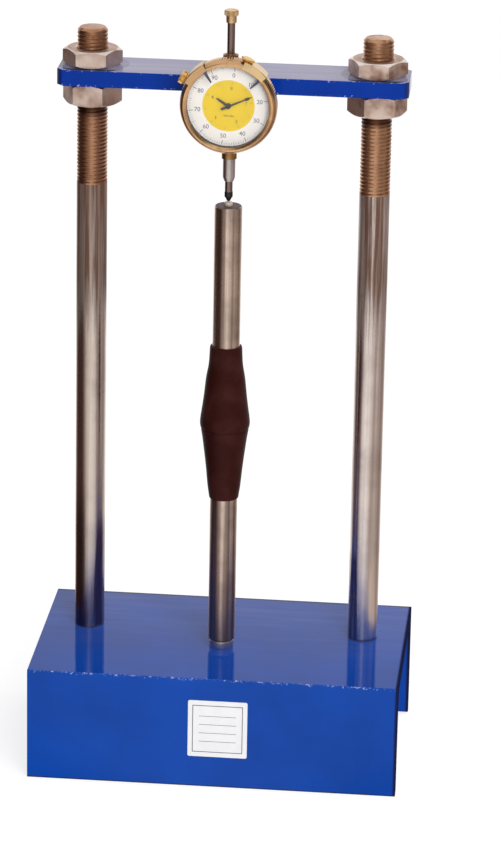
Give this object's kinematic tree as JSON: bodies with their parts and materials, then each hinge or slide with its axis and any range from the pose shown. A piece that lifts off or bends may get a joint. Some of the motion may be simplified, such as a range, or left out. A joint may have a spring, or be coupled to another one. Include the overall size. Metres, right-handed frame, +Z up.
{
  "type": "comparator stand",
  "caption": "Bench stand with a dial gauge under a crossbar clamped on threaded pillars, over a steel channel base that carries a loose reference bar.",
  "frame": {"origin": "centre of the channel's footprint, on the surface the stand rests on", "axes": "+Z up along the pillars, +X to the right along the crossbar, -Y towards the reader of the dial"},
  "size_m": [0.246, 0.1504, 0.5142],
  "materials": {
    "blue_paint": "worn gloss",
    "bar_paint": "worn gloss",
    "label_white": "matte",
    "pillar_chrome": "polished, stained thread",
    "nut_plating": "dull plating with rust",
    "hardware_steel": "zinc plated",
    "seat_steel": "ground",
    "ground_steel": "satin",
    "nose_steel": "polished",
    "grip_black": "satin",
    "case_metal": "bronze satin",
    "bezel_gold": "anodised satin",
    "stem_steel": "satin",
    "spindle_steel": "dark satin",
    "contact_black": "blackened",
    "cap_brass": "satin",
    "clip_brass": "satin",
    "screw_steel": "satin",
    "movement_brass": "satin",
    "wheel_brass": "polished",
    "spring_steel": "blued",
    "hand_black": "black lacquer",
    "face_enamel": "white and yellow enamel",
    "spacer_black": "matte",
    "crystal": "clear"
  },
  "bodies": {
    "stand": {"base_channel": "blue_paint", "label_plate": "label_white", "pillar_left": "pillar_chrome", "pillar_right": "pillar_chrome", "foot_washers": "hardware_steel", "foot_nuts": "hardware_steel", "anvil_seat": "seat_steel", "anvil_washer": "hardware_steel", "anvil_nut": "hardware_steel"},
    "crossbar_unit": {"crossbar": "bar_paint", "lug_screw": "hardware_steel", "lug_nut": "hardware_steel", "dial_case": "case_metal", "back_cover": "case_metal", "back_screws": "screw_steel", "lower_stem": "stem_steel", "upper_bush": "stem_steel", "guide_block": "movement_brass", "spring_anchor": "screw_steel", "return_spring": "spring_steel", "main_plate": "movement_brass", "top_plate": "movement_brass", "plate_posts": "movement_brass", "plate_screws": "screw_steel", "bezel_snap_ring": "spring_steel"},
    "nut_lower_left": {"lower_nut_left": "nut_plating"},
    "nut_lower_right": {"lower_nut_right": "nut_plating"},
    "nut_upper_left": {"upper_nut_left": "nut_plating"},
    "nut_upper_right": {"upper_nut_right": "nut_plating"},
    "bezel": {"bezel_ring": "bezel_gold", "crystal": "crystal", "face_spacer": "spacer_black", "dial_face": "face_enamel"},
    "clip_left": {"limit_clip_left": "clip_brass"},
    "clip_right": {"limit_clip_right": "clip_brass"},
    "plunger": {"spindle": "spindle_steel", "contact_point": "contact_black", "lifting_cap": "cap_brass", "guide_pin": "screw_steel"},
    "train": {"rack_pinion_arbor": "screw_steel", "train_wheel": "wheel_brass", "counter_drive_wheel": "wheel_brass"},
    "pointer": {"centre_arbor": "screw_steel", "main_pointer": "hand_black"},
    "counter": {"counter_wheel": "wheel_brass", "counter_hand": "hand_black"},
    "take_up": {"take_up_arbor": "screw_steel", "take_up_wheel": "wheel_brass", "hairspring": "spring_steel"},
    "reference": {"reference_bar": "ground_steel", "bar_nose": "nose_steel", "bar_grip": "grip_black"}
  },
  "joints": [
    {"name": "lower_nut_left_turn", "type": "hinge", "parent": "crossbar_unit", "child": "nut_lower_left", "pos_m": [-0.093, 0.015, 0.45], "axis": [0, 0, 1], "range_deg": [0, 1728.05]},
    {"name": "lower_nut_right_turn", "type": "hinge", "parent": "crossbar_unit", "child": "nut_lower_right", "pos_m": [0.093, 0.015, 0.45], "axis": [0, 0, 1], "range_deg": [0, 1728.05]},
    {"name": "upper_nut_left_turn", "type": "hinge", "parent": "crossbar_unit", "child": "nut_upper_left", "pos_m": [-0.093, 0.015, 0.4735], "axis": [0, 0, 1], "range_deg": [0, 1728.05]},
    {"name": "upper_nut_right_turn", "type": "hinge", "parent": "crossbar_unit", "child": "nut_upper_right", "pos_m": [0.093, 0.015, 0.4735], "axis": [0, 0, 1], "range_deg": [0, 1728.05]},
    {"name": "crossbar_lift", "type": "slide", "parent": "stand", "child": "crossbar_unit", "axis": [0, 0, 1], "range_m": [0, 0.012]},
    {"name": "spindle_slide", "type": "slide", "parent": "crossbar_unit", "child": "plunger", "axis": [0, 0, 1], "range_m": [0, 0.005], "stiffness_N_per_m": 80, "springref_m": -0.01, "deforming": ["return_spring"]},
    {"name": "train_spin", "type": "hinge", "parent": "crossbar_unit", "child": "train", "pos_m": [-0.00319, -0.014, 0.46427], "axis": [0, -1, 0], "range_deg": [0, 180.01]},
    {"name": "pointer_spin", "type": "hinge", "parent": "crossbar_unit", "child": "pointer", "pos_m": [0, -0.014, 0.4538], "axis": [0, -1, 0], "range_deg": [-1800.1, 0]},
    {"name": "counter_spin", "type": "hinge", "parent": "crossbar_unit", "child": "counter", "pos_m": [0, -0.014, 0.4538], "axis": [0, -1, 0], "range_deg": [-180.01, 0]},
    {"name": "take_up_spin", "type": "hinge", "parent": "crossbar_unit", "child": "take_up", "pos_m": [0.00774, -0.014, 0.44606], "axis": [0, -1, 0], "range_deg": [0, 180.01]},
    {"name": "bezel_turn", "type": "hinge", "parent": "crossbar_unit", "child": "bezel", "pos_m": [0, -0.014, 0.4538], "axis": [0, -1, 0], "continuous": true},
    {"name": "clip_left_turn", "type": "hinge", "parent": "bezel", "child": "clip_left", "pos_m": [0, -0.014, 0.4538], "axis": [0, -1, 0], "range_deg": [-22, 30]},
    {"name": "clip_right_turn", "type": "hinge", "parent": "bezel", "child": "clip_right", "pos_m": [0, -0.014, 0.4538], "axis": [0, -1, 0], "range_deg": [-30, 22]},
    {"name": "reference_bar_slide", "type": "slide", "parent": "stand", "child": "reference", "axis": [0, -1, 0], "range_m": [0, 0.1]}
  ],
  "couplings": [
    {"joint": "lower_nut_left_turn", "follows": "crossbar_lift", "rad_per_m": 2513.3},
    {"joint": "lower_nut_right_turn", "follows": "crossbar_lift", "rad_per_m": 2513.3},
    {"joint": "upper_nut_left_turn", "follows": "crossbar_lift", "rad_per_m": 2513.3},
    {"joint": "upper_nut_right_turn", "follows": "crossbar_lift", "rad_per_m": 2513.3},
    {"joint": "train_spin", "follows": "spindle_slide", "rad_per_m": 628.32},
    {"joint": "pointer_spin", "follows": "spindle_slide", "rad_per_m": -6283.2},
    {"joint": "counter_spin", "follows": "spindle_slide", "rad_per_m": -628.32},
    {"joint": "take_up_spin", "follows": "spindle_slide", "rad_per_m": 628.32}
  ]
}
